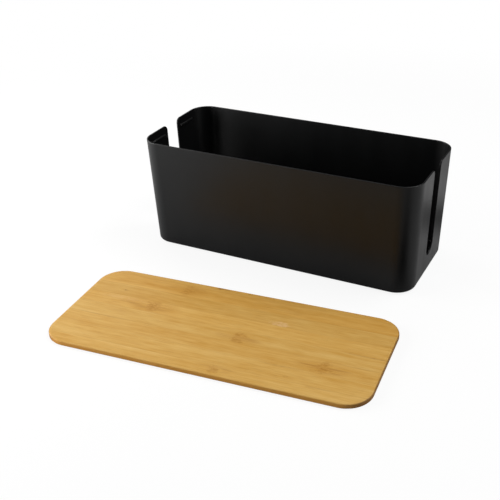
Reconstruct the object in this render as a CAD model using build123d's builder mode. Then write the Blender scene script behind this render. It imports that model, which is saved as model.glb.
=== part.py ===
"""Cable management box: an open moulded tub with two cable slots, its anti-slip pads and its bamboo lid.

Frame: millimetres, +Z up. The origin is the point on the floor under the middle of the box, +X runs
along the box towards its right-hand slot and +Y from its front to its back. The lid is off the box and
lies flat on the floor in front of it, as it does while cables are laid in.
"""

from build123d import *

import math
import os

# Box
rim_length = 320.0  # outside, at the rim
rim_width = 133.0
box_height = 125.0  # floor to rim
wall_lean = 3.8  # how far each wall leans in from the rim to the underside, about 1.8 degrees
corner_radius = 22.0
wall = 1.8
base_thickness = 2.4
bottom_edge_radius = 3.0
rim_edge_radius = 0.5

# Cable slots, one in the middle of each short end, open at the top
slot_width = 22.0
slot_bottom = 21.0  # floor to the lowest point of the slot
shoulder_radius = 6.0  # where the slot opens into the rim

# Ledges inside each short end, one on either side of the slot: beads with a rounded face
ledge_drop = 8.5  # rim to the top of the ledge
ledge_height = 4.4
ledge_depth = 1.2  # inwards, from the wall
ledge_slot_gap = 5.0

# Anti-slip pads, glued into shallow pockets under the base
pad_diameter = 12.0
pad_thickness = 2.0
pad_proud = 1.0  # how far a pad stands out of the base
pad_edge_radius = 0.4
pad_inset = 22.0  # from the edges of the base to the pad's centre
pocket_clearance = 0.2

# Lid: a board of bamboo strips glued side by side
lid_overhang = 4.0  # past the rim, all round
lid_thickness = 5.0
lid_edge_radius = 1.2
whole_strips = 6  # of equal width, between the two that were sawn narrower along the long edges
front_strip_width = 14.6
back_strip_width = 7.6
groove_depth = 2.0  # in the underside, where the rim drops in
groove_clearance = 0.6  # on each side of the rim

# Where the lid lies
lid_centre_x = 11.6
lid_gap = 61.4  # from the rim to the lid's near long edge, measured at the lid's centre
lid_turn = 4.95  # degrees, anticlockwise from above

# Derived sizes
base_level = pad_proud
inner_floor = base_level + base_thickness
base_length = rim_length - 2 * wall_lean
base_width = rim_width - 2 * wall_lean
half_slot = slot_width / 2
half_mouth = half_slot + shoulder_radius
shoulder_foot = box_height - shoulder_radius
ledge_top = box_height - ledge_drop
lid_length = rim_length + 2 * lid_overhang
lid_width = rim_width + 2 * lid_overhang
whole_strip_width = (lid_width - front_strip_width - back_strip_width) / whole_strips
cut_run = 10.0  # how far a cutting shape runs past what it cuts
tolerance = 1e-4


# ---------------------------------------------------------------- box shell


def lean_at(level):
    """How far the walls have leant in from the rim, down to a height above the floor."""
    return wall_lean * (box_height - level) / (box_height - base_level)


def length_at(level):
    """Outside length of the box at a height above the floor."""
    return rim_length - 2 * lean_at(level)


def width_at(level):
    """Outside width of the box at a height above the floor."""
    return rim_width - 2 * lean_at(level)


def box_outline(level, inset):
    """Rounded rectangle of the box at a height, moved in from the outside by inset."""
    with BuildSketch(Plane.XY.offset(level)) as outline:
        RectangleRounded(
            length_at(level) - 2 * inset,
            width_at(level) - 2 * inset,
            corner_radius - inset,
        )
    return outline.sketch


def is_rim_or_slot_face(face):
    """True for the level top of the rim and for the walls of the cable slots."""
    middle = face.center()
    on_rim = abs(middle.Z - box_height) < tolerance
    in_end_wall = abs(middle.X) > length_at(middle.Z) / 2 - wall
    in_slot = in_end_wall and abs(middle.Y) < half_mouth and abs(face.normal_at().X) < tolerance
    return on_rim or in_slot


def crosses_wall(edge):
    """True for the short edges that run through the wall from outside to inside."""
    return edge.length < 2 * wall and abs(edge.tangent_at(0.5).X) > 1 - tolerance


# The space inside the walls
with BuildPart() as cavity:
    add(box_outline(inner_floor, wall))
    add(box_outline(box_height + cut_run, wall))
    loft(ruled=True)
    fillet(cavity.faces().sort_by(Axis.Z)[0].edges(), bottom_edge_radius - wall)

# Ledges: beads rooted in the middle of the end walls, each from beside the slot to the corner
ledge_start = half_slot + ledge_slot_gap
ledge_stop = width_at(ledge_top) / 2 - corner_radius
ledge_foot = ledge_top - ledge_height
ledge_middle = ledge_top - ledge_height / 2
wall_face = length_at(ledge_middle) / 2 - wall
ledge_root = wall_face + wall / 2

with BuildPart() as ledges:
    with BuildSketch(Plane.XZ.offset(ledge_start)):
        with BuildLine():
            ThreePointArc(
                (wall_face, ledge_foot),
                (wall_face - ledge_depth, ledge_middle),
                (wall_face, ledge_top),
            )
            Polyline(
                (wall_face, ledge_top),
                (ledge_root, ledge_top),
                (ledge_root, ledge_foot),
                (wall_face, ledge_foot),
            )
        make_face()
    extrude(amount=ledge_stop - ledge_start)
    mirror(about=Plane.XZ)
    mirror(about=Plane.YZ)

with BuildPart() as box_shell:
    add(box_outline(base_level, 0))
    add(box_outline(box_height, 0))
    loft(ruled=True)
    fillet(box_shell.faces().sort_by(Axis.Z)[0].edges(), bottom_edge_radius)
    add(cavity.part, mode=Mode.SUBTRACT)

    # Cable slots: straight sides, a half-round bottom and shoulders that flare into the rim
    with BuildSketch(Plane.YZ):
        with BuildLine():
            ThreePointArc(
                (-half_slot, slot_bottom + half_slot),
                (0, slot_bottom),
                (half_slot, slot_bottom + half_slot),
            )
            Line((half_slot, slot_bottom + half_slot), (half_slot, shoulder_foot))
            RadiusArc((half_slot, shoulder_foot), (half_mouth, box_height), shoulder_radius)
            Polyline(
                (half_mouth, box_height),
                (half_mouth, box_height + cut_run),
                (-half_mouth, box_height + cut_run),
                (-half_mouth, box_height),
            )
            RadiusArc((-half_mouth, box_height), (-half_slot, shoulder_foot), shoulder_radius)
            Line((-half_slot, shoulder_foot), (-half_slot, slot_bottom + half_slot))
        make_face()
    extrude(amount=rim_length, both=True, mode=Mode.SUBTRACT)

    # The rim and the slots share one eased edge outside and one inside
    rim_faces = box_shell.faces().filter_by(is_rim_or_slot_face)
    eased_edges = [edge for edge in rim_faces.edges() if not crosses_wall(edge)]
    fillet(eased_edges, rim_edge_radius)

    add(ledges.part)

    # Pockets for the pads
    pad_places = GridLocations(base_length - 2 * pad_inset, base_width - 2 * pad_inset, 2, 2)
    with BuildSketch(Plane.XY.offset(base_level)):
        with pad_places:
            Circle(pad_diameter / 2 + pocket_clearance)
    extrude(amount=pad_thickness - pad_proud, mode=Mode.SUBTRACT)

box_shell.part.label = "box_shell"


# ---------------------------------------------------------------- anti-slip pads


def foot_pad(place):
    """Rubber disc at a place under the base, with a softened lower edge."""
    with BuildPart() as pad:
        with BuildSketch(Plane.XY):
            with Locations(place.position):
                Circle(pad_diameter / 2)
        extrude(amount=pad_thickness)
        fillet(pad.edges().group_by(Axis.Z)[0], pad_edge_radius)
    return pad.part


foot_pads = {}
for place in pad_places:
    depth_name = "front" if place.position.Y < 0 else "back"
    side_name = "left" if place.position.X < 0 else "right"
    foot_pads[f"foot_pad_{depth_name}_{side_name}"] = foot_pad(place)


# ---------------------------------------------------------------- lid

lid_centre_y = -(rim_width / 2 + lid_gap + lid_width / 2)
turn = math.radians(lid_turn)
lid_plane = Plane(
    origin=(lid_centre_x, lid_centre_y, 0),
    x_dir=(math.cos(turn), math.sin(turn), 0),
    z_dir=(0, 0, 1),
)


def rim_offset_outline(offset_out):
    """Outline of the rim's outside, grown outwards by offset_out."""
    RectangleRounded(
        rim_length + 2 * offset_out,
        rim_width + 2 * offset_out,
        corner_radius + offset_out,
    )


# The whole board, before it is told apart into its strips
with BuildPart() as board:
    with BuildSketch(lid_plane):
        rim_offset_outline(lid_overhang)
    extrude(amount=lid_thickness)
    fillet(board.edges().group_by(Axis.Z)[0], lid_edge_radius)
    fillet(board.edges().group_by(Axis.Z)[-1], lid_edge_radius)
    with BuildSketch(lid_plane):
        rim_offset_outline(groove_clearance)
    extrude(amount=groove_depth, mode=Mode.SUBTRACT)
    with BuildSketch(lid_plane):
        rim_offset_outline(-wall - groove_clearance)
    extrude(amount=groove_depth)

# Glue lines, front to back
first_glue_line = front_strip_width - lid_width / 2
glue_lines = [first_glue_line + count * whole_strip_width for count in range(whole_strips + 1)]
strip_edges = [-lid_width / 2 - cut_run, *glue_lines, lid_width / 2 + cut_run]


def lid_strip(front_line, back_line):
    """The part of the board between two lines that run along it."""
    with BuildPart() as strip:
        add(board.part)
        with BuildSketch(lid_plane):
            with Locations((0, (front_line + back_line) / 2)):
                Rectangle(lid_length + 2 * cut_run, back_line - front_line)
        extrude(amount=lid_thickness, mode=Mode.INTERSECT)
    return strip.part


lid_strips = {}
for number, (front_line, back_line) in enumerate(zip(strip_edges, strip_edges[1:]), start=1):
    lid_strips[f"lid_strip_{number}"] = lid_strip(front_line, back_line)


# ---------------------------------------------------------------- export

os.makedirs("parts", exist_ok=True)
export_step(box_shell.part, "parts/box_shell.step")
for name, piece in {**foot_pads, **lid_strips}.items():
    piece.label = name
    export_step(piece, f"parts/{name}.step")
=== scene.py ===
"""Looks of a cable management box: a black moulded tub with two cable slots, its anti-slip pads, and the
laminated bamboo lid that lies on the floor in front of it. Lengths are in metres, +Z is up, +X runs along
the box towards its right-hand slot and +Y from its front to its back."""

import math

import bmesh
import bpy
import numpy as np
from mathutils import Matrix


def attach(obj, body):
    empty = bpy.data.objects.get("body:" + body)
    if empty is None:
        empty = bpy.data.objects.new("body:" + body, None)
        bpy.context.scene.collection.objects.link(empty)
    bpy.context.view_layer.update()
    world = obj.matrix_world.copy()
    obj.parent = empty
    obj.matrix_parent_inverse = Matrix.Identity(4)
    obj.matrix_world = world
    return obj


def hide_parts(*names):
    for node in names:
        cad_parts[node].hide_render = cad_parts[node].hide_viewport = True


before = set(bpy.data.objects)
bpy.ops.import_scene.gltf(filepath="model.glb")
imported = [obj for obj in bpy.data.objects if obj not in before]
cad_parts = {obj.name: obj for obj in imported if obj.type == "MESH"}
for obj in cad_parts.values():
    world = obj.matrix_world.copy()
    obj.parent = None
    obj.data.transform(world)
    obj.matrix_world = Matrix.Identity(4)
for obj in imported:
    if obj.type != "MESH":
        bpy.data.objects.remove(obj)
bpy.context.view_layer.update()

MM = 0.001

# Box
rim_length = 320 * MM
rim_width = 133 * MM
box_height = 125 * MM
wall_lean = 3.8 * MM
corner_radius = 22 * MM
wall = 1.8 * MM
base_thickness = 2.4 * MM
bottom_edge_radius = 3 * MM
rim_edge_radius = 0.5 * MM

# Cable slots
slot_width = 22 * MM
slot_bottom = 21 * MM
shoulder_radius = 6 * MM

# Ledges inside the short ends
ledge_drop = 8.5 * MM
ledge_height = 4.4 * MM
ledge_depth = 1.2 * MM
ledge_slot_gap = 5 * MM
ledge_end_length = 1.5 * MM

# Anti-slip pads
pad_diameter = 12 * MM
pad_proud = 1 * MM
pad_inset = 22 * MM
pocket_depth = 1 * MM
pocket_clearance = 0.2 * MM

# Lid
lid_overhang = 4 * MM
lid_thickness = 5 * MM
lid_edge_radius = 1.2 * MM
front_strip_width = 14.6 * MM
back_strip_width = 7.6 * MM
whole_strips = 6
groove_depth = 2 * MM
groove_clearance = 0.6 * MM
groove_draft = 0.1 * MM
lid_centre_x = 11.6 * MM
lid_gap = 61.4 * MM
lid_turn = math.radians(4.95)

# Worked out from the sizes above
base_level = pad_proud
inner_floor = base_level + base_thickness
slot_middle = slot_bottom + slot_width / 2
half_mouth = slot_width / 2 + shoulder_radius
shoulder_foot = box_height - shoulder_radius
lid_length = rim_length + 2 * lid_overhang
lid_width = rim_width + 2 * lid_overhang
lid_radius = corner_radius + lid_overhang
lid_centre_y = -(rim_width / 2 + lid_gap + lid_width / 2)
whole_strip_width = (lid_width - front_strip_width - back_strip_width) / whole_strips

# Numbers of points along each stretch of the tub's surfaces
shoulder_points = 11
slot_side_points = 22
bowl_points = 17
under_slot_points = 6
bottom_edge_points = 8
base_points = 9
corner_points = 25
front_points = 26
rim_edge_points = 6
ledge_face_points = 15
ledge_end_points = 8
pocket_points = 49

# How far along the end wall its points lie, from the slot to the corner, closer together at both ends
end_wall_shares = np.array([0, 0.02, 0.06, 0.13, 0.24, 0.4, 0.58, 0.76, 0.9, 0.97, 1])
front_crowding = 1.4  # above 1, the front wall's points crowd towards the corner

# Numbers of points along each stretch of the lid's surfaces
lid_edge_points = 8
groove_points = 4
middle_rows = 31
half_length_points = 14
lid_arc_step = 4  # degrees between two rows round the lid's corners
lid_arc_last = 48

weld_distance = 1e-6
hard_edge_angle = 35  # degrees between two faces, above which their edge is shaded as a hard line


# ---------------------------------------------------------------- meshes from grids of points


def quads(rows, columns):
    """Vertex numbers of the quads of a grid that is stored row by row."""
    corner = np.arange(rows - 1)[:, None] * columns + np.arange(columns - 1)
    return np.stack([corner, corner + 1, corner + columns + 1, corner + columns], -1).reshape(-1, 4)


def mesh_from_grids(name, grids):
    """Object from grids of points, each shaped (rows, columns, 3).

    The grids are welded where they meet, and the faces are turned outwards.
    """
    points, faces, first = [], [], 0
    for grid in grids:
        rows, columns = grid.shape[:2]
        points.append(grid.reshape(-1, 3))
        faces.append(quads(rows, columns) + first)
        first += rows * columns
    mesh = bpy.data.meshes.new(name)
    mesh.from_pydata(np.concatenate(points), [], np.concatenate(faces).tolist())
    welded = bmesh.new()
    welded.from_mesh(mesh)
    bmesh.ops.remove_doubles(welded, verts=welded.verts, dist=weld_distance)
    bmesh.ops.recalc_face_normals(welded, faces=welded.faces)
    welded.to_mesh(mesh)
    welded.free()
    piece = bpy.data.objects.new(name, mesh)
    bpy.context.scene.collection.objects.link(piece)
    return piece


def smooth(piece):
    """Smooth shading, with a hard line only where two faces meet sharply."""
    piece.data.shade_smooth()
    piece.data.set_sharp_from_angle(angle=math.radians(hard_edge_angle))


def mirrored(grids):
    """The grids of one quarter of the box and their mirror images in the other three quarters."""
    signs = [np.array([x, y, 1.0]) for x in (1, -1) for y in (1, -1)]
    return [grid * sign for grid in grids for sign in signs]


# ---------------------------------------------------------------- box shell


def lean_at(level):
    """How far the walls have leant in at a height: nothing at the rim, all of it at the base."""
    return wall_lean * (box_height - level) / (box_height - base_level)


def shell_rows(floor_level, edge_radius):
    """Rows from the rim down the wall, round the bottom edge and across the base, as columns of numbers.

    Each row has its level; its tuck, how far the bottom edge's quarter circle has drawn it in; the slot's
    half width there, which follows a quarter circle at the shoulder, a straight side and a quarter circle
    at the bottom; the angle at which the slot's edge faces, 0 for sideways and 90 degrees for up; and its
    run, from 0 on the wall to 1 on the ridge line along the middle of the base.
    """
    shoulder = np.radians(np.linspace(90, 0, shoulder_points))
    bowl = np.radians(np.linspace(0, 90, bowl_points))
    bend = np.radians(np.linspace(0, 90, bottom_edge_points))[1:]
    eased_shoulder = shoulder_radius - rim_edge_radius
    eased_slot = slot_width / 2 + rim_edge_radius
    slot_side = np.linspace(shoulder_foot, slot_middle, slot_side_points)[1:-1]
    under_slot = np.linspace(slot_middle - eased_slot, floor_level + edge_radius, under_slot_points)[1:]
    base = np.linspace(0, 1, base_points)[1:]
    level = [
        shoulder_foot + eased_shoulder * np.sin(shoulder),
        slot_side,
        slot_middle - eased_slot * np.sin(bowl),
        under_slot,
        floor_level + edge_radius * (1 - np.sin(bend)),
        np.full(base.size, floor_level),
    ]
    slot = [
        half_mouth - eased_shoulder * np.cos(shoulder),
        np.full(slot_side.size, eased_slot),
        eased_slot * np.cos(bowl),
    ]
    facing = [shoulder, np.zeros(slot_side.size), bowl]
    tuck = [edge_radius * (1 - np.cos(bend)), np.full(base.size, edge_radius)]
    level, slot, facing, tuck = (np.concatenate(part) for part in (level, slot, facing, tuck))
    edge_rows = slot.size
    slot = np.pad(slot, (0, level.size - slot.size))
    tuck = np.pad(tuck, (level.size - tuck.size, 0))
    run = np.pad(base, (level.size - base.size, 0))
    return level[:, None], tuck[:, None], slot[:, None], run[:, None], facing, edge_rows


def skin_quarter(inset, floor_level, edge_radius):
    """Front left quarter of the box's outer or inner skin.

    Each row is a quarter of a rounded rectangle whose half sizes are the rim's less the lean, the inset and
    the tuck: straight from the slot's edge to the corner, a quarter circle, and straight to the middle of
    the front. On the base, points slide to the nearest point of the ridge line, as on a flattened hipped
    roof.
    """
    level, tuck, slot, run, facing, edge_rows = shell_rows(floor_level, edge_radius)
    half_x = rim_length / 2 - lean_at(level) - inset - tuck
    half_y = rim_width / 2 - lean_at(level) - inset - tuck
    radius = corner_radius - inset - tuck
    corner_x = half_x - radius
    corner_y = half_y - radius
    sweep = np.radians(np.linspace(0, 90, corner_points))[1:-1]
    front_shares = 1 - np.linspace(0, 1, front_points) ** front_crowding
    x = [
        -half_x + 0 * end_wall_shares,
        -corner_x - radius * np.cos(sweep),
        -corner_x * front_shares,
    ]
    y = [
        -slot - (corner_y - slot) * end_wall_shares,
        -corner_y - radius * np.sin(sweep),
        -half_y + 0 * front_shares,
    ]
    x = np.concatenate(x, axis=1)
    y = np.concatenate(y, axis=1)
    ridge_x = np.maximum(x, half_y - half_x)
    x = x + run * (ridge_x - x)
    y = y * (1 - run)
    return np.stack([x, y, level + 0 * x], -1), facing, edge_rows


def rim_quarter(outer, inner, facing, edge_rows):
    """Quarter of the eased edge that joins the skins along the slot and the rim.

    Along the slot's edge and then the rim, the edge's profile is a quarter circle out of the outer skin, a
    flat as wide as the wall less both circles, and a quarter circle into the inner skin.
    """
    up_slot = np.arange(edge_rows - 1, 0, -1)
    along_rim = np.arange(outer.shape[1])
    rows = np.concatenate([up_slot, 0 * along_rim])
    columns = np.concatenate([0 * up_slot, along_rim])
    outside = outer[rows, columns]
    inside = inner[rows, columns]
    through = outside - inside
    through /= np.linalg.norm(through, axis=1, keepdims=True)
    angle = facing[rows]
    away = np.stack([0 * angle, np.cos(angle), np.sin(angle)], -1)
    turn = np.radians(np.linspace(0, 90, rim_edge_points))[:, None, None]
    rise = rim_edge_radius * np.sin(turn) * away
    drop = rim_edge_radius * (1 - np.cos(turn)) * through
    return np.concatenate([outside + rise - drop, (inside + rise + drop)[::-1]])


def ledge_quarter():
    """The ledge beside the slot in the front left quarter: a bead that grows out of the end wall.

    Its profile is the arc of a circle that leaves the wall's face at the ledge's top and foot and stands
    out by the ledge's depth between them, closed by a root in the middle of the wall. Towards both ends the
    profile shrinks to a point of the root as the sine of an angle, while the length runs as its cosine.
    """
    middle = box_height - ledge_drop - ledge_height / 2
    root = rim_length / 2 - lean_at(middle) - wall / 2
    start = slot_width / 2 + ledge_slot_gap
    stop = rim_width / 2 - lean_at(box_height - ledge_drop) - corner_radius
    radius = (ledge_height**2 / 4 + ledge_depth**2) / (2 * ledge_depth)
    half_turn = math.asin(ledge_height / 2 / radius)
    turn = np.linspace(-half_turn, half_turn, ledge_face_points)
    reach = wall / 2 + ledge_depth - radius * (1 - np.cos(turn))
    reach = np.concatenate([[0], reach, [0, 0]])
    rise = [[-ledge_height / 2], radius * np.sin(turn), [ledge_height / 2, -ledge_height / 2]]
    rise = np.concatenate(rise)
    fade = np.radians(np.linspace(0, 90, ledge_end_points))
    share = np.concatenate([np.sin(fade), np.sin(fade)[::-1]])[:, None]
    end_run = ledge_end_length * (1 - np.cos(fade))
    along = np.concatenate([start + end_run, stop - end_run[::-1]])[:, None]
    return np.stack([share * reach - root, 0 * reach - along, middle + share * rise], -1)


def disc(radius, low, high):
    """Closed disc: a point, two circles and a point, one above the other."""
    turn = np.linspace(0, 2 * np.pi, pocket_points)
    reach = np.array([0, radius, radius, 0])[:, None]
    level = np.array([low, low, high, high])[:, None]
    return np.stack([reach * np.cos(turn), reach * np.sin(turn), level + 0 * turn], -1)


def cut_pad_pockets(shell):
    """Cuts the four shallow round pockets that hold the pads out of the underside."""
    place_x = rim_length / 2 - wall_lean - pad_inset
    place_y = rim_width / 2 - wall_lean - pad_inset
    pocket_radius = pad_diameter / 2 + pocket_clearance
    pocket = disc(pocket_radius, base_level - pocket_depth, base_level + pocket_depth)
    places = [np.array([x * place_x, y * place_y, 0]) for x in (-1, 1) for y in (-1, 1)]
    cutter = mesh_from_grids("pocket_cutter", [pocket + place for place in places])
    cut = shell.modifiers.new("pockets", "BOOLEAN")
    cut.operation = "DIFFERENCE"
    cut.solver = "EXACT"
    cut.object = cutter
    bpy.context.view_layer.update()
    depsgraph = bpy.context.evaluated_depsgraph_get()
    shell.data = bpy.data.meshes.new_from_object(shell.evaluated_get(depsgraph))
    shell.modifiers.clear()
    bpy.data.objects.remove(cutter)


def join_into(piece, other):
    """Adds another object's faces to a piece as separate closed skins, and removes that object.

    Points of one skin that a cut has left almost on each other are merged.
    """
    joined = bmesh.new()
    joined.from_mesh(piece.data)
    joined.from_mesh(other.data)
    bmesh.ops.remove_doubles(joined, verts=joined.verts, dist=weld_distance)
    joined.to_mesh(piece.data)
    joined.free()
    bpy.data.objects.remove(other)


def make_box_shell():
    """The moulded tub: two skins and the eased edge between them, the pockets and the ledges."""
    outer, facing, edge_rows = skin_quarter(0, base_level, bottom_edge_radius)
    inner = skin_quarter(wall, inner_floor, bottom_edge_radius - wall)[0]
    edge = rim_quarter(outer, inner, facing, edge_rows)
    shell = mesh_from_grids("tub", mirrored([outer, inner, edge]))
    cut_pad_pockets(shell)
    join_into(shell, mesh_from_grids("ledges", mirrored([ledge_quarter()])))
    smooth(shell)
    return shell


# ---------------------------------------------------------------- lid strips


def lid_stages():
    """Profile of the board's edge: depths in from its outline, and the top's and underside's level there.

    A quarter circle above and one below, then the groove in the underside that the rim drops into.
    """
    turn = np.radians(np.linspace(0, 90, lid_edge_points))
    groove_start = lid_overhang - groove_clearance
    groove_stop = lid_overhang + wall + groove_clearance
    groove = np.linspace(groove_start + groove_draft, groove_stop - groove_draft, groove_points)
    eased = lid_edge_radius * (1 - np.sin(turn))
    depth = [lid_edge_radius * (1 - np.cos(turn)), [groove_start], groove, [groove_stop]]
    top = [lid_thickness - eased, np.full(groove.size + 2, lid_thickness)]
    under = [eased, [0], np.full(groove.size, groove_depth), [0]]
    return np.concatenate(depth), np.concatenate(top), np.concatenate(under)


def lid_rows(front_line, back_line):
    """Rows across a strip: how far each lies from the board's long middle line, and its stage.

    Inside the board the rows have the last stage. They follow the corner arcs in equal angles. Along a long
    edge of the board, one row lies at each stage's depth.
    """
    depth = lid_stages()[0]
    last = depth.size - 1
    straight = lid_width / 2 - lid_radius
    arc_angles = np.radians(np.arange(lid_arc_step, lid_arc_last + 1, lid_arc_step))
    arcs = straight + lid_radius * np.sin(arc_angles)
    inside = np.concatenate([-arcs[::-1], np.linspace(-straight, straight, middle_rows), arcs])
    reach = lid_width / 2 - depth[last]
    kept = (inside > front_line) & (inside < back_line) & (np.abs(inside) < reach)
    rows, stages = [inside[kept]], [np.full(kept.sum(), last)]
    if front_line <= -lid_width / 2:
        rows.insert(0, depth - lid_width / 2)
        stages.insert(0, np.arange(depth.size))
    else:
        rows.insert(0, [front_line])
        stages.insert(0, [last])
    if back_line >= lid_width / 2:
        rows.append((lid_width / 2 - depth)[::-1])
        stages.append(np.arange(depth.size)[::-1])
    else:
        rows.append([back_line])
        stages.append([last])
    return np.concatenate(rows), np.concatenate(stages)


def on_the_floor(grid):
    """Turns a grid from the lid's own frame to its place on the floor."""
    along, across, level = np.moveaxis(grid, -1, 0)
    x = lid_centre_x + along * math.cos(lid_turn) - across * math.sin(lid_turn)
    y = lid_centre_y + along * math.sin(lid_turn) + across * math.cos(lid_turn)
    return np.stack([x, y, level], -1)


def make_lid_strip(name, front_line, back_line):
    """One bamboo strip of the board, between two lines that run along it.

    A point of the top or underside is found by its row's and its column's stage. The lower of the two gives
    the depth in from the board's outline, and the board is half as long there as its straight half plus the
    root of the squared corner radius at that depth less the squared distance past the corner's centre.
    """
    depth, top, under = lid_stages()
    across, row_stage = lid_rows(front_line, back_line)
    share = np.concatenate([np.ones(depth.size - 1), np.linspace(1, 0, half_length_points)])
    column_stage = np.minimum(np.arange(share.size), depth.size - 1)
    stage = np.minimum(row_stage[:, None], column_stage)
    past_corner = np.maximum(np.abs(across) - (lid_width / 2 - lid_radius), 0)[:, None]
    arc = np.sqrt(np.maximum((lid_radius - depth[stage]) ** 2 - past_corner**2, 0))
    along = share * (lid_length / 2 - lid_radius + arc)
    across = across[:, None] + 0 * along
    upper = np.stack([along, across, top[stage]], -1)
    lower = np.stack([along, across, under[stage]], -1)
    grids = [
        upper,
        lower,
        np.stack([upper[:, 0], lower[:, 0]], 1),
        np.stack([upper[0], lower[0]]),
        np.stack([upper[-1], lower[-1]]),
    ]
    both_ends = [on_the_floor(grid * np.array([end, 1, 1])) for grid in grids for end in (1, -1)]
    strip = mesh_from_grids(name, both_ends)
    smooth(strip)
    return strip


# ---------------------------------------------------------------- materials


class Recipe:
    """A material's nodes, added one after another."""

    def __init__(self, name):
        self.material = bpy.data.materials.new(name)
        self.material.use_nodes = True
        self.tree = self.material.node_tree
        self.surface = self.tree.nodes["Principled BSDF"]

    def put(self, socket, value):
        """Links a socket to another node's output, or sets it."""
        if isinstance(value, bpy.types.NodeSocket):
            self.tree.links.new(value, socket)
        else:
            socket.default_value = value

    def add(self, kind, inputs, output=0, **settings):
        """One node with its inputs by name or number; gives the chosen output."""
        made = self.tree.nodes.new(kind)
        for key, value in settings.items():
            setattr(made, key, value)
        for key, value in inputs.items():
            self.put(made.inputs[key], value)
        return made.outputs[output]

    def set(self, **sockets):
        """Inputs of the surface shader, with underscores for the spaces in their names."""
        for key, value in sockets.items():
            self.put(self.surface.inputs[key.replace("_", " ")], value)

    def coordinates(self, output="Object"):
        return self.add("ShaderNodeTexCoord", {}, output=output)

    def part(self, vector, axis):
        """One of a vector's three parts."""
        return self.add("ShaderNodeSeparateXYZ", {0: vector}, output=axis)

    def length(self, vector):
        return self.add("ShaderNodeVectorMath", {0: vector}, output="Value", operation="LENGTH")

    def maths(self, operation, *values):
        return self.add("ShaderNodeMath", dict(enumerate(values)), operation=operation)

    def between(self, value, low, high, start=0.0, stop=1.0):
        """Smooth step: start below low, stop above high."""
        inputs = {"Value": value, "From Min": low, "From Max": high, "To Min": start, "To Max": stop}
        return self.add("ShaderNodeMapRange", inputs, interpolation_type="SMOOTHSTEP")

    def noise(self, place, scale, detail=2, roughness=0.5):
        inputs = {"Vector": place, "Scale": scale, "Detail": detail, "Roughness": roughness}
        return self.add("ShaderNodeTexNoise", inputs)

    def mapped(self, place, **inputs):
        return self.add("ShaderNodeMapping", {"Vector": place, **inputs})

    def placed(self, place, centre, turn, scale=(1, 1, 1)):
        """Places as seen from a frame with its own centre, turn about the upright and scale."""
        inputs = {"Vector": place, "Location": centre, "Rotation": (0, 0, turn), "Scale": scale}
        return self.add("ShaderNodeMapping", inputs, vector_type="TEXTURE")

    def mix(self, share, first, second):
        """First where the share is 0, second where it is 1."""
        return self.add("ShaderNodeMix", {0: share, 6: first, 7: second}, output=2, data_type="RGBA")

    def bump(self, height, distance, strength):
        inputs = {"Height": height, "Distance": distance, "Strength": strength}
        return self.add("ShaderNodeBump", inputs)


def colour(red, green, blue):
    return (red, green, blue, 1.0)


def tinted(tone, factors):
    """A tone's three parts, each times its own factor, as a colour."""
    return colour(*(factor * part for factor, part in zip(factors, tone)))


# Colours of the finishes
deep_black = colour(0.0027, 0.0028, 0.003)
pale_black = colour(0.0044, 0.0046, 0.0049)
speck_grey = colour(0.25, 0.25, 0.24)
rubber_black = colour(0.016, 0.016, 0.016)
dusty_black = colour(0.034, 0.033, 0.031)
vessel_brown = colour(0.24, 0.115, 0.03)
glue_brown = colour(0.24, 0.1, 0.018)
sawn_amber = colour(0.66, 0.25, 0.025)
# partly the darker colour of real end grain, partly painted shade on the lid's ends and corners
end_grain_and_shade_brown = colour(0.17, 0.08, 0.022)
knuckle_brown = colour(0.4, 0.175, 0.02)
fleck_brown = colour(0.24, 0.1, 0.016)
scuff_pink = colour(0.74, 0.49, 0.26)

# How strongly each shows
speck_share = 0.05
vessel_share = 0.2
sawn_share = 0.55
end_grain_and_shade_share = 0.75
wisp_share = 0.8  # of its mark's strength

# Bamboo: the light and the dark of a strip's grain as factors of its tone, and how far the grain strays
light_factors = (1.23, 1.43, 2.2)
dark_factors = (0.78, 0.58, 0)
grain_sway = 4 * MM
mark_wobble = 22 * MM
seed_steps = (0.731, 0.417, 0.29)  # how far one strip's pattern lies from the next one's
glue_line_core = 0.1 * MM
glue_line_edge = 0.7 * MM

noise_middle = 0.5  # the value that a noise swings about
surface_ior = 1.5


def black_plastic():
    """Moulded black plastic with a fine satin texture, faint handling marks and specks of dust."""
    made = Recipe("black_plastic")
    place = made.coordinates()
    grain = made.noise(place, scale=2600, roughness=0.6)
    clouds = made.noise(place, scale=14, detail=3, roughness=0.55)
    smears = made.noise(made.mapped(place, Scale=(40, 40, 9)), scale=1, detail=4, roughness=0.6)
    specks = made.between(made.noise(place, scale=520, detail=1, roughness=0.4), low=0.76, high=0.82)
    shade = made.mix(clouds, deep_black, pale_black)
    shade = made.mix(made.maths("MULTIPLY", specks, speck_share), shade, speck_grey)
    roughness = made.between(smears, low=0.3, high=0.72, start=0.33, stop=0.385)
    made.set(Base_Color=shade, Roughness=roughness, IOR=surface_ior, Specular_IOR_Level=0.34)
    made.set(Normal=made.bump(grain, distance=0.02 * MM, strength=0.35))
    return made.material


def pad_rubber():
    """Dull black rubber with a fine pitted face."""
    made = Recipe("pad_rubber")
    place = made.coordinates()
    pits = made.noise(place, scale=1800, detail=3, roughness=0.6)
    dust = made.noise(place, scale=260, detail=3, roughness=0.6)
    roughness = made.between(pits, low=0.3, high=0.7, start=0.72, stop=0.9)
    made.set(Base_Color=made.mix(dust, rubber_black, dusty_black), Roughness=roughness, IOR=surface_ior)
    made.set(Normal=made.bump(pits, distance=0.05 * MM, strength=0.5))
    return made.material


def in_lid_frame(made):
    """Places on the lid measured from its centre, with X along the strips."""
    return made.placed(made.coordinates(), (lid_centre_x, lid_centre_y, 0), lid_turn)


def end_grain_and_shade(made):
    """One on the ends of the strips, where the fibres are cut across, and nothing along their sides."""
    along_strip = {0: made.coordinates("Normal"), 1: (math.cos(lid_turn), math.sin(lid_turn), 0)}
    facing = made.add("ShaderNodeVectorMath", along_strip, output="Value", operation="DOT_PRODUCT")
    return made.between(made.maths("ABSOLUTE", facing), low=0.12, high=0.75)


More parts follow.
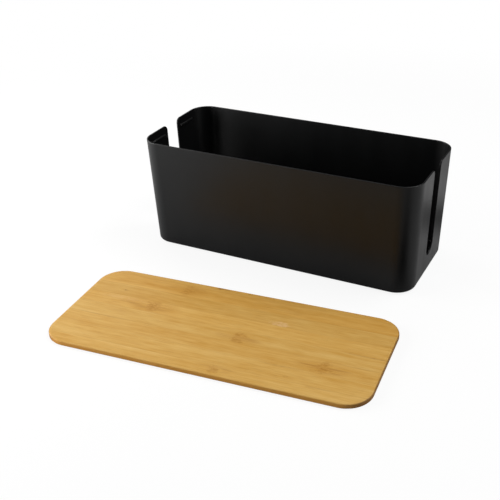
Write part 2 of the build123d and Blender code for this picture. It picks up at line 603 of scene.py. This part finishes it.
def sawn_edge(made):
    """One on the upright faces all round the board, and nothing on its top and underside."""
    facing_up = made.maths("ABSOLUTE", made.part(made.coordinates("Normal"), "Z"))
    return made.between(facing_up, low=0.3, high=0.8, start=1, stop=0)


def drawn_out(made, place, along, across, detail=2, roughness=0.5):
    """Noise with so many waves to the metre along the strip and across it."""
    stretched = made.mapped(place, Scale=(along, across, across))
    return made.noise(stretched, scale=1, detail=detail, roughness=roughness)


def mark_on_strip(made, along, across, wobble, mottle, wisps, mark):
    """How strongly a mark shows: a core with a ragged outline, and wisps of fibre that run out of it.

    The core is an ellipse whose places are first moved along the strip by the wobble, and the mottle breaks
    it into small patches. The wisps are streaks of the grain inside an ellipse that is wisp_reach times as
    long.
    """
    (centre_along, centre_across), (half_length, half_width), strength, wisp_reach = mark
    x = made.maths("SUBTRACT", along, centre_along)
    y = made.maths("DIVIDE", made.maths("SUBTRACT", across, centre_across), half_width)
    y_squared = made.maths("MULTIPLY", y, y)
    core_x = made.maths("DIVIDE", made.maths("ADD", x, wobble), half_length)
    core_far = made.maths("MULTIPLY_ADD", core_x, core_x, y_squared)
    core = made.between(core_far, low=0.1, high=1.9, start=strength, stop=0)
    wisp_x = made.maths("DIVIDE", x, half_length * wisp_reach)
    wisp_far = made.maths("MULTIPLY_ADD", wisp_x, wisp_x, y_squared)
    wisp = made.between(wisp_far, low=0.2, high=1.3, start=wisp_share * strength, stop=0)
    return made.maths("MAXIMUM", made.maths("MULTIPLY", core, mottle), made.maths("MULTIPLY", wisp, wisps))


def with_marks(made, shade, along, across, shifted, wisps, marks):
    """The strip's shade with its marks over it, each ragged by the same wobble and mottle."""
    wobble = drawn_out(made, shifted, along=130, across=260, roughness=0.6)
    wobble = made.maths("MULTIPLY", made.maths("SUBTRACT", wobble, noise_middle), mark_wobble)
    mottle = drawn_out(made, shifted, along=230, across=420, roughness=0.6)
    mottle = made.between(mottle, low=0.36, high=0.6, start=0.25)
    for mark_colour, *mark in marks:
        mark_share = mark_on_strip(made, along, across, wobble, mottle, wisps, mark)
        shade = made.mix(mark_share, shade, mark_colour)
    return shade


def with_glue_lines(made, shade, across, bands, glued_sides):
    """The strip's shade with a thin brown line along each glued side, stronger where the bands are."""
    for side in glued_sides:
        from_line = made.maths("ABSOLUTE", made.maths("SUBTRACT", across, side))
        line = made.between(from_line, low=glue_line_core, high=glue_line_edge, start=1, stop=0)
        strength = made.between(bands, low=0.4, high=0.7, start=0.03, stop=0.22)
        shade = made.mix(made.maths("MULTIPLY", line, strength), shade, glue_brown)
    return shade


def bamboo(name, tone, seed, glued_sides, marks):
    """Lacquered bamboo strip: fibres and brown vessels along it, slow changes of tone, marks, glue lines.

    Noise that is drawn out along the strip gives the fibres, so the strip's ends show them as dots. The
    noises add up to one share, which chooses between the dark and the light of the strip's tone.
    """
    made = Recipe(name)
    place = in_lid_frame(made)
    along = made.part(place, "X")
    across = made.part(place, "Y")
    shifted = made.mapped(place, Location=[seed * step for step in seed_steps])
    sway = made.maths("MULTIPLY", drawn_out(made, shifted, along=9, across=4), grain_sway)
    sway = made.add("ShaderNodeCombineXYZ", {"Y": sway})
    grain_place = made.add("ShaderNodeVectorMath", {0: shifted, 1: sway}, operation="ADD")
    bands = drawn_out(made, grain_place, along=5, across=75)
    streaks = drawn_out(made, grain_place, along=18, across=300, roughness=0.55)
    fibres = drawn_out(made, grain_place, along=45, across=1200, roughness=0.6)
    vessels = drawn_out(made, grain_place, along=75, across=2300, detail=1, roughness=0.4)
    clouds = drawn_out(made, shifted, along=45, across=130)
    light_share = noise_middle
    for pattern, amount in ((bands, 0.46), (streaks, 0.5), (fibres, 0.62), (clouds, 0.28)):
        swing = made.maths("SUBTRACT", pattern, noise_middle)
        light_share = made.maths("MULTIPLY_ADD", swing, amount, light_share)
    shade = made.mix(light_share, tinted(tone, dark_factors), tinted(tone, light_factors))
    shade = made.mix(made.between(vessels, low=0.6, high=0.74, stop=vessel_share), shade, vessel_brown)
    wisps = made.between(made.maths("ADD", streaks, fibres), low=0.95, high=1.15)
    shade = with_marks(made, shade, along, across, shifted, wisps, marks)
    shade = with_glue_lines(made, shade, across, bands, glued_sides)
    shade = made.mix(made.maths("MULTIPLY", sawn_edge(made), sawn_share), shade, sawn_amber)
    # darkens the strips' ends and the board's corners: partly real end grain, partly painted shade where
    # they face away from the lamps
    shade = made.mix(made.maths("MULTIPLY", end_grain_and_shade(made), end_grain_and_shade_share), shade, end_grain_and_shade_brown)
    roughness = made.between(fibres, low=0.2, high=0.8, start=0.46, stop=0.6)
    made.set(Base_Color=shade, Roughness=roughness, IOR=surface_ior, Specular_IOR_Level=0.2)
    made.set(Coat_Weight=0.03, Coat_Roughness=0.3)
    made.set(Normal=made.bump(fibres, distance=0.03 * MM, strength=0.4))
    return made.material


# ---------------------------------------------------------------- pieces

shell = make_box_shell()
shell.data.materials.clear()
shell.data.materials.append(black_plastic())
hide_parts("box_shell")
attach(shell, "box")

rubber = pad_rubber()
for end in ("front", "back"):
    for side in ("left", "right"):
        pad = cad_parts[f"foot_pad_{end}_{side}"]
        pad.data.materials.clear()
        pad.data.materials.append(rubber)

bamboo_light = (0.628, 0.364, 0.081)
bamboo_mid = (0.597, 0.339, 0.072)
bamboo_dark = (0.585, 0.318, 0.061)

# Each strip's finish, its tone and how much lighter than the tone its own cane is
strip_looks = [
    ("bamboo_light", bamboo_light, 1.015),
    ("bamboo_light", bamboo_light, 1.0),
    ("bamboo_mid", bamboo_mid, 1.02),
    ("bamboo_light", bamboo_light, 0.97),
    ("bamboo_mid", bamboo_mid, 1.03),
    ("bamboo_mid", bamboo_mid, 0.975),
    ("bamboo_dark", bamboo_dark, 1.02),
    ("bamboo_dark", bamboo_dark, 1.0),
]


def lid_mark(paint, along, across, half_length, half_width, strength, wisp_reach):
    """A mark's colour, place, half sizes, strength and reach, from lengths in millimetres.

    The place is measured from the lid's centre.
    """
    return paint, (along * MM, across * MM), (half_length * MM, half_width * MM), strength, wisp_reach


def knuckle(along, across, half_length, half_width, strength, wisp_reach=4):
    """A knuckle of the cane."""
    return lid_mark(knuckle_brown, along, across, half_length, half_width, strength, wisp_reach)


def fleck(along, across, half_length, half_width, strength):
    """A dark fleck or a dark stretch of a glue line."""
    return lid_mark(fleck_brown, along, across, half_length, half_width, strength, wisp_reach=1.5)


def scuff(along, across, half_length, half_width, strength):
    """A pale rubbed spot in the lacquer."""
    return lid_mark(scuff_pink, along, across, half_length, half_width, strength, wisp_reach=1)


# Each strip's marks: place along and across the lid, half length, half width, strength, and for some
# knuckles how many half lengths their wisps reach
strip_marks = {
    1: [knuckle(18, -60.9, 5.5, 6, 0.55), fleck(118, -56.9, 10, 1, 0.2)],
    2: [fleck(72, -36.5, 17, 1.1, 0.25), fleck(83, -49.9, 1.5, 1, 0.35)],
    3: [
        knuckle(111, -26.9, 7, 9, 0.85),
        fleck(-120, -16.5, 22, 1, 0.25),
        fleck(140, -16.5, 14, 1, 0.15),
    ],
    4: [
        knuckle(20, -7.9, 6.5, 9, 0.7),
        fleck(147, 2.8, 18, 1.1, 0.4),
        knuckle(-107, -4, 8, 5, 0.15, 3),
    ],
    5: [
        knuckle(-84, 15.1, 7.5, 9, 0.75),
        scuff(-120, 19, 24, 4, 0.16),
        fleck(-107, 13.5, 10, 1, 0.25),
    ],
    6: [fleck(-125, 33.1, 2.5, 1.2, 0.6), scuff(49.5, 26.6, 7, 4.2, 0.6)],
    7: [
        knuckle(-62, 53.6, 7, 9, 0.65),
        knuckle(-51, 55.6, 7, 5, 0.25, 2),
        knuckle(56, 51.6, 6, 5, 0.25, 2),
    ],
    8: [fleck(-30, 68.3, 6, 1.5, 0.85)],
}

first_line = front_strip_width - lid_width / 2
glue_lines = [first_line + count * whole_strip_width for count in range(whole_strips + 1)]
strip_lines = [-lid_width / 2, *glue_lines, lid_width / 2]
for number, (slot_name, tone, lightness) in enumerate(strip_looks, start=1):
    lines = strip_lines[number - 1 : number + 1]
    strip = make_lid_strip(f"strip_{number}", *lines)
    glued_sides = [line for line in lines if line in glue_lines]
    own_tone = [lightness * part for part in tone]
    finish = bamboo(f"bamboo_{number}", own_tone, number, glued_sides, strip_marks[number])
    strip.data.materials.append(finish)
    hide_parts(f"lid_strip_{number}")
    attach(strip, "lid")


# ---------------------------------------------------------------- floor, light and camera

white = colour(1, 1, 1)
floor_half = 6.0
ground_level = -0.05 * MM  # just under the pads and the lid, so that no two faces lie in one plane
painted_radius = 0.45  # as far as this the floor keeps its share of paint
bare_radius = 0.9  # and from here on it is glow alone
near_glow = 0.88  # the glow's share within the painted radius

# The floor that reflections show: grey, with darker patches of painted shadow and a paler patch of painted
# light
floor_grey = 0.5
painted_floor_light_and_shadows = [
    # a painted pool of light on the floor behind the box's right end
    dict(centre=(280 * MM, 180 * MM), turn=0, half_sizes=(110 * MM, 110 * MM), full_share=0.2, grey=0.95),
    # a painted shadow of the box on the floor behind its right end
    dict(centre=(198 * MM, 129 * MM), turn=0, half_sizes=(75 * MM, 75 * MM), full_share=0, grey=0.02),
    # a painted shadow of the box on the floor off its front right corner
    dict(centre=(235 * MM, -138 * MM), turn=-40, half_sizes=(150 * MM, 55 * MM), full_share=0.4, grey=0.01),
]


def with_painted_floor_patch(made, place, shade, centre, turn, half_sizes, full_share, grey):
    """The floor's shade with an elliptical patch of another grey, turned by so many degrees.

    The patch is a painted shadow where its grey is darker than the floor's, and a painted pool of light
    where it is paler. It is at full strength out to full_share of the way to the ellipse's edge, and fades
    out there.
    """
    unit_place = made.placed(place, (*centre, 0), math.radians(turn), (*half_sizes, 1))
    painted_share = made.between(made.length(unit_place), low=full_share, high=1, start=1, stop=0)
    return made.mix(painted_share, shade, colour(grey, grey, grey))


def white_floor():
    """White floor that stays nearly pure white to the camera but keeps a faint shadow of what stands on it.

    Seen by the camera it is mostly a white glow with a share of white paint near the object, and the paint
    takes the shadow. Further away the glow is all there is, so the floor runs into the white world without
    an edge. To every other ray it is grey paint, which is what the object's sides reflect, with patches of
    painted light and shade to the right of the box: a painted shadow off its front corner, and a painted
    shadow and a painted pool of light behind.
    """
    made = Recipe("white_floor")
    place = made.coordinates()
    glow_share = made.between(made.length(place), low=painted_radius, high=bare_radius, start=near_glow)
    seen = made.add("ShaderNodeLightPath", {}, output="Is Camera Ray")
    shade = colour(floor_grey, floor_grey, floor_grey)
    # painted shadows and a painted pool of light, which only reflections show
    for patch in painted_floor_light_and_shadows:
        shade = with_painted_floor_patch(made, place, shade, **patch)
    paint = made.add("ShaderNodeBsdfDiffuse", {"Color": made.mix(seen, shade, white)})
    glow = made.add("ShaderNodeEmission", {"Color": white, "Strength": 1.0})
    both = made.add("ShaderNodeMixShader", {0: made.maths("MULTIPLY", seen, glow_share), 1: paint, 2: glow})
    made.put(made.tree.nodes["Material Output"].inputs["Surface"], both)
    made.tree.nodes.remove(made.surface)
    return made.material


corner_signs = ((-1, -1), (1, -1), (1, 1), (-1, 1))
corners = [(x * floor_half, y * floor_half, ground_level) for x, y in corner_signs]
floor_mesh = bpy.data.meshes.new("floor")
floor_mesh.from_pydata(corners, [], [(0, 1, 2, 3)])
floor_mesh.materials.append(white_floor())
floor = bpy.data.objects.new("floor", floor_mesh)
bpy.context.scene.collection.objects.link(floor)

# The world is white to the camera and a dim fill light to everything else
world_fill = 0.05
world = bpy.data.worlds.new("studio")
bpy.context.scene.world = world
world.use_nodes = True
nodes, links = world.node_tree.nodes, world.node_tree.links
background = nodes["Background"]
background.inputs["Color"].default_value = white
light_path = nodes.new("ShaderNodeLightPath")
level = nodes.new("ShaderNodeMapRange")
level.inputs["To Min"].default_value = world_fill
level.inputs["To Max"].default_value = 1.0
links.new(light_path.outputs["Is Camera Ray"], level.inputs["Value"])
links.new(level.outputs["Result"], background.inputs["Strength"])

lit_y = -100 * MM  # the lamps stand round and face a point on the floor between the box and the lid


def softbox(name, azimuth, elevation, distance, size, power):
    """Square lamp that faces the lit point; azimuth turns anticlockwise from the back, seen from above."""
    lamp = bpy.data.lights.new(name, "AREA")
    lamp.shape = "SQUARE"
    lamp.size = size
    lamp.energy = power
    holder = bpy.data.objects.new(name, lamp)
    bpy.context.scene.collection.objects.link(holder)
    a, e = math.radians(azimuth), math.radians(elevation)
    holder.location = (
        -distance * math.sin(a) * math.cos(e),
        distance * math.cos(a) * math.cos(e) + lit_y,
        distance * math.sin(e),
    )
    holder.rotation_euler = (math.radians(90 - elevation), 0, a + math.pi)


softbox("left_window", azimuth=102, elevation=15, distance=1.0, size=0.6, power=9)
softbox("front_left_fill", azimuth=130, elevation=12, distance=1.0, size=0.6, power=5.8)
softbox("back_left_fill", azimuth=56, elevation=31, distance=1.2, size=0.5, power=1.8)
softbox("back_ceiling", azimuth=30, elevation=60, distance=1.4, size=0.8, power=2.7)
softbox("right_ceiling", azimuth=300, elevation=57, distance=1.4, size=0.8, power=11.1)
softbox("right_window", azimuth=278, elevation=12, distance=1.0, size=0.6, power=2.5)

camera_place = (365.3 * MM, -794.35 * MM, 474.3 * MM)
heading = math.radians(26.3445)  # anticlockwise from +Y, seen from above
dip = math.radians(28.9535)
roll = math.radians(-1.121)
camera = bpy.data.cameras.new("camera")
camera.sensor_width = 36
camera.lens = 61.563
camera.shift_x = -0.05
camera.clip_start = 0.01
viewer = bpy.data.objects.new("camera", camera)
bpy.context.scene.collection.objects.link(viewer)
viewer.matrix_world = (
    Matrix.Translation(camera_place)
    @ Matrix.Rotation(heading, 4, "Z")
    @ Matrix.Rotation(math.pi / 2 - dip, 4, "X")
    @ Matrix.Rotation(roll, 4, "Z")
)
bpy.context.scene.camera = viewer

bpy.context.scene.view_settings.view_transform = "Standard"
